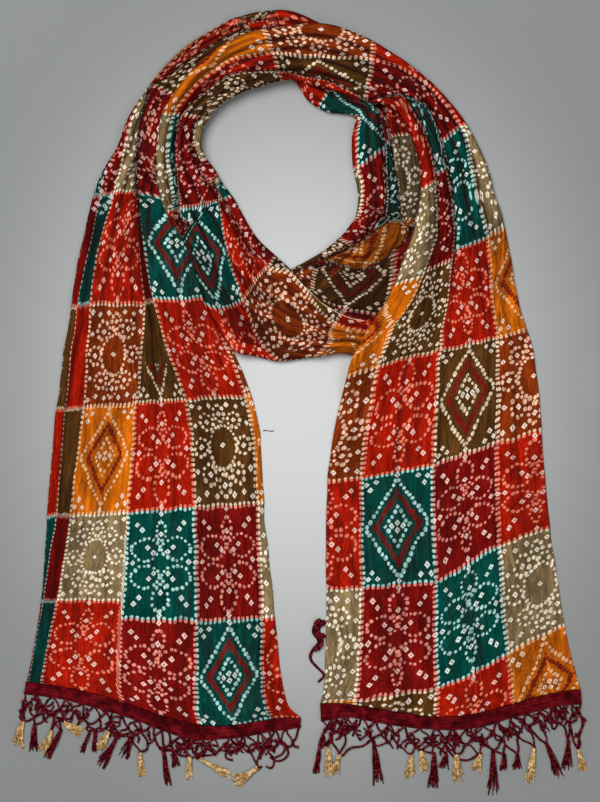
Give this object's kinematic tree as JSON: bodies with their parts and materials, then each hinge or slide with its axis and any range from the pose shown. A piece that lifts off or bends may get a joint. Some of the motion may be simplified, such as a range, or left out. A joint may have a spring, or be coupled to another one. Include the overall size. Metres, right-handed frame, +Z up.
{
  "type": "dupatta stole laid flat",
  "caption": "Crinkled tie-dyed stole laid flat as a once-round neck wrap, both ends hanging down, with a netted tassel fringe at each hem.",
  "frame": {"origin": "on the table, under the middle of the laid stole's bounding box", "axes": "+X to the right of the layout, +Y from the two hems towards the neck loop, +Z up from the table"},
  "size_m": [0.5127, 0.6982, 0.0236],
  "materials": {
    "crinkled_art_silk": "crinkled, slight sheen, tie-dyed",
    "fringe_yarn": "matte twisted yarn"
  },
  "bodies": {
    "root": {"left_tail": "crinkled_art_silk", "back_under_wrap": "crinkled_art_silk", "right_inner_wrap": "crinkled_art_silk", "front_cross": "crinkled_art_silk", "over_wrap": "crinkled_art_silk", "right_tail": "crinkled_art_silk", "left_fringe": "fringe_yarn", "right_fringe": "fringe_yarn", "right_fringe_corner": "fringe_yarn"}
  },
  "joints": []
}
